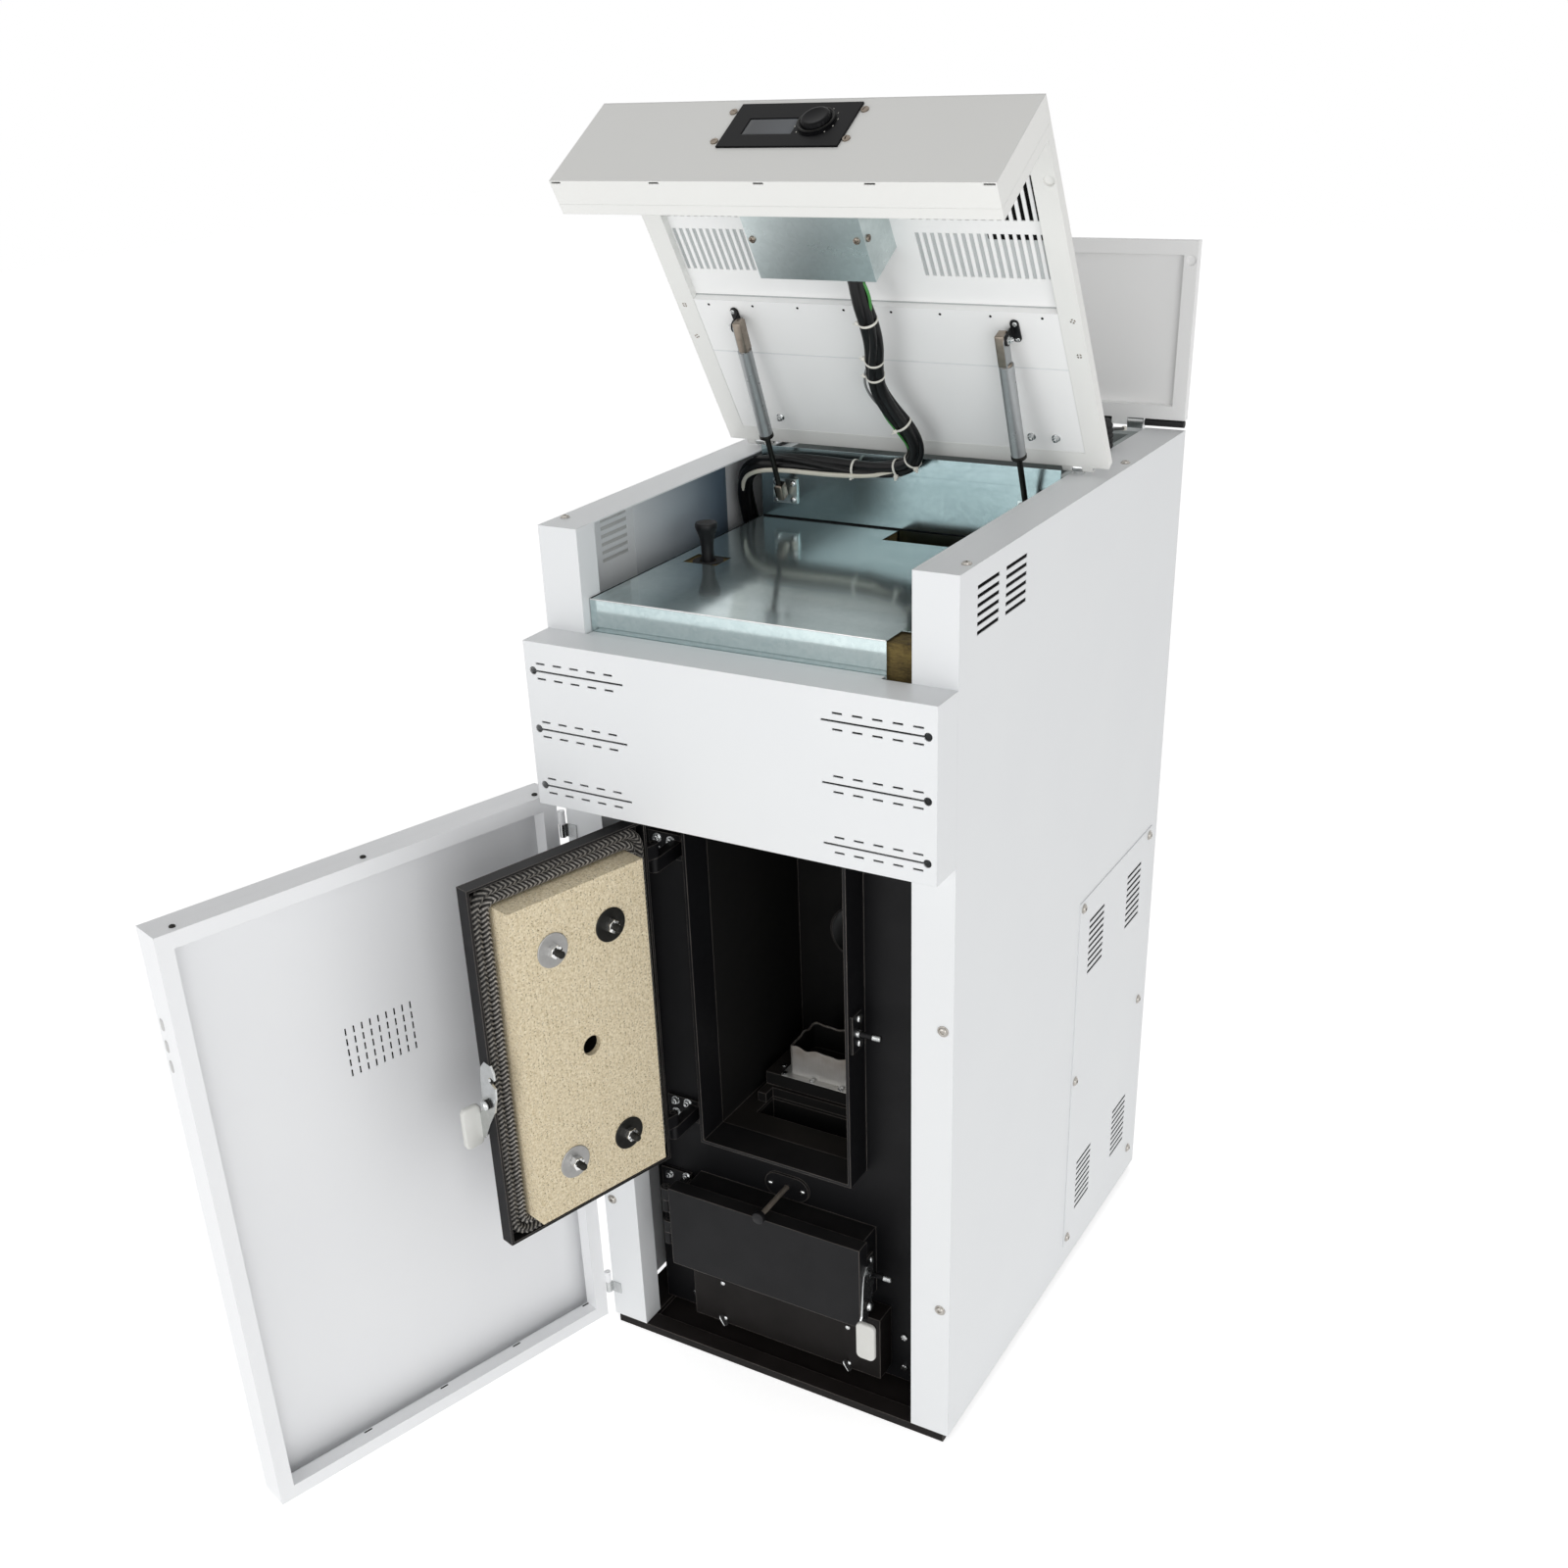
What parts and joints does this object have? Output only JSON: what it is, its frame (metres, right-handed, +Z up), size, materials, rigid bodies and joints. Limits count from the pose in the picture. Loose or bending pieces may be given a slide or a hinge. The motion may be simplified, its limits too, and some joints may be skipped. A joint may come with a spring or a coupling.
{
  "type": "pellet boiler",
  "caption": "Floor-standing compact pellet boiler cabinet with hinged front door, chamber and ash doors, lifting front lid on gas springs, hopper lid and side access cover.",
  "frame": {"origin": "on the floor at the middle of the cabinet's footprint", "axes": "+Z up, +X to the right seen from the front, +Y to the rear"},
  "size_m": [0.8406, 1.4188, 1.8095],
  "materials": {
    "white_paint": "fine satin powder coat",
    "zinc": "galvanised sheet",
    "black_steel": "heat-proof black paint",
    "sooty_steel": "sooty steel",
    "pot_steel": "dull stainless sheet",
    "rope": "dark braided glass rope",
    "board": "pressed vermiculite board",
    "wool": "brown mineral wool",
    "pad": "cream moulded plastic",
    "black_plastic": "black moulded plastic",
    "grey_metal": "grey enamelled steel",
    "bright_steel": "zinc-plated steel",
    "loom": "corrugated black sleeve",
    "rubber": "soft black rubber"
  },
  "bodies": {
    "cabinet": {"base_plinth": "black_steel", "left_side_panel": "white_paint", "right_side_panel": "white_paint", "rear_panel": "white_paint", "front_panel": "white_paint", "access_cover": "white_paint", "boiler_front": "black_steel", "firebox": "sooty_steel", "ash_box": "sooty_steel", "water_jacket": "black_steel", "exchanger_tubes": "sooty_steel", "ash_cover_plate": "black_steel", "burner_base": "sooty_steel", "burner_pot": "pot_steel", "exchanger_cover": "zinc", "mineral_wool": "wool", "bulkhead": "zinc", "hopper": "zinc", "auger_tube": "black_steel", "auger_gearmotor": "black_plastic", "fan_housing": "zinc", "fan_motor": "black_plastic", "flue_spigot": "zinc", "water_pipes": "black_steel", "cable_gland": "black_plastic", "strut_brackets": "zinc", "latch_strikers": "black_steel", "cabinet_screws": "bright_steel", "lid_switch": "rubber", "front_door_hinges": "bright_steel", "boiler_door_hinges": "black_steel", "lid_hinges": "bright_steel", "wiring_loom": "loom"},
    "front_door": {"front_door_skin": "white_paint", "front_door_frame": "white_paint"},
    "chamber_door": {"chamber_door_pan": "black_steel", "chamber_door_rope": "rope", "chamber_door_board": "board", "board_fixings": "bright_steel"},
    "chamber_latch": {"chamber_latch": "bright_steel", "chamber_latch_pad": "pad"},
    "ash_door": {"ash_door": "black_steel"},
    "ash_latch": {"ash_latch": "bright_steel", "ash_latch_pad": "pad"},
    "front_lid": {"lid_shell": "white_paint", "lid_fascia": "white_paint", "lid_inner_panel": "white_paint", "electrics_box": "zinc", "controller": "black_plastic", "lid_strut_brackets": "zinc"},
    "control_knob": {"control_knob": "black_plastic"},
    "left_strut_rod": {"left_strut_rod": "bright_steel"},
    "left_strut_tube": {"left_strut_tube": "grey_metal"},
    "right_strut_rod": {"right_strut_rod": "bright_steel"},
    "right_strut_tube": {"right_strut_tube": "grey_metal"},
    "hopper_lid": {"hopper_lid": "white_paint"},
    "air_rod": {"air_rod": "black_plastic"},
    "cleaning_grip": {"cleaning_grip": "black_plastic"},
    "auger_screw": {"auger_screw": "bright_steel"},
    "fan_impeller": {"fan_impeller": "bright_steel"}
  },
  "joints": [
    {"name": "front_door", "type": "hinge", "parent": "cabinet", "child": "front_door", "pos_m": [-0.3054, -0.4025, 0.48], "axis": [0, 0, -1], "range_deg": [-107.5, 0]},
    {"name": "chamber_door", "type": "hinge", "parent": "cabinet", "child": "chamber_door", "pos_m": [-0.167, -0.3815, 0.65], "axis": [0, 0, -1], "range_deg": [-106.4, 0]},
    {"name": "chamber_latch", "type": "hinge", "parent": "chamber_door", "child": "chamber_latch", "pos_m": [-0.25472, -0.68665, 0.61], "axis": [-0.2823, -0.9593, 0], "range_deg": [-22, 0]},
    {"name": "ash_door", "type": "hinge", "parent": "cabinet", "child": "ash_door", "pos_m": [-0.19, -0.3815, 0.232], "axis": [0, 0, -1], "range_deg": [0, 100]},
    {"name": "ash_latch", "type": "hinge", "parent": "ash_door", "child": "ash_latch", "pos_m": [0.156, -0.3795, 0.195], "axis": [1, 0, 0], "range_deg": [-22, 0]},
    {"name": "front_lid", "type": "hinge", "parent": "cabinet", "child": "front_lid", "pos_m": [0, 0.0965, 1.335], "axis": [-1, 0, 0], "range_deg": [-59, 0], "deforming": ["wiring_loom"]},
    {"name": "hopper_lid", "type": "hinge", "parent": "cabinet", "child": "hopper_lid", "pos_m": [0, 0.4035, 1.333], "axis": [-1, 0, 0], "range_deg": [-92, 0], "deforming": ["lid_switch"]},
    {"name": "air_rod", "type": "slide", "parent": "cabinet", "child": "air_rod", "axis": [0, -1, 0], "range_m": [0, 0.04]},
    {"name": "cleaning_grip", "type": "slide", "parent": "cabinet", "child": "cleaning_grip", "axis": [0, 0, 1], "range_m": [0, 0.06]},
    {"name": "control_knob", "type": "hinge", "parent": "front_lid", "child": "control_knob", "pos_m": [0.031, -0.22398, 1.78875], "axis": [0, -0.515, 0.8572], "continuous": true},
    {"name": "auger_screw", "type": "hinge", "parent": "cabinet", "child": "auger_screw", "pos_m": [0, 0.1025, 0.648], "axis": [0, 1, 0], "continuous": true},
    {"name": "fan_impeller", "type": "hinge", "parent": "cabinet", "child": "fan_impeller", "pos_m": [0, 0.2425, 0.3], "axis": [0, 1, 0], "continuous": true},
    {"name": "left_strut_tilt", "type": "hinge", "parent": "cabinet", "child": "left_strut_rod", "pos_m": [-0.195, 0.0545, 1.271], "axis": [-1, 0, 0], "range_deg": [-57.1, 0.2]},
    {"name": "left_strut_slide", "type": "slide", "parent": "left_strut_rod", "child": "left_strut_tube", "axis": [0, -0.3724, 0.9281], "range_m": [-0.0754, 0.0005]},
    {"name": "right_strut_tilt", "type": "hinge", "parent": "cabinet", "child": "right_strut_rod", "pos_m": [0.195, 0.0545, 1.271], "axis": [-1, 0, 0], "range_deg": [-57.1, 0.2]},
    {"name": "right_strut_slide", "type": "slide", "parent": "right_strut_rod", "child": "right_strut_tube", "axis": [0, -0.3724, 0.9281], "range_m": [-0.0754, 0.0005]}
  ],
  "couplings": [
    {"joint": "chamber_door", "follows": "front_door", "ratio": 0.98977},
    {"joint": "left_strut_tilt", "follows": "front_lid", "ratio": 0.96506},
    {"joint": "left_strut_slide", "follows": "front_lid", "m_per_rad": 0.07277},
    {"joint": "right_strut_tilt", "follows": "front_lid", "ratio": 0.96506},
    {"joint": "right_strut_slide", "follows": "front_lid", "m_per_rad": 0.07277}
  ]
}
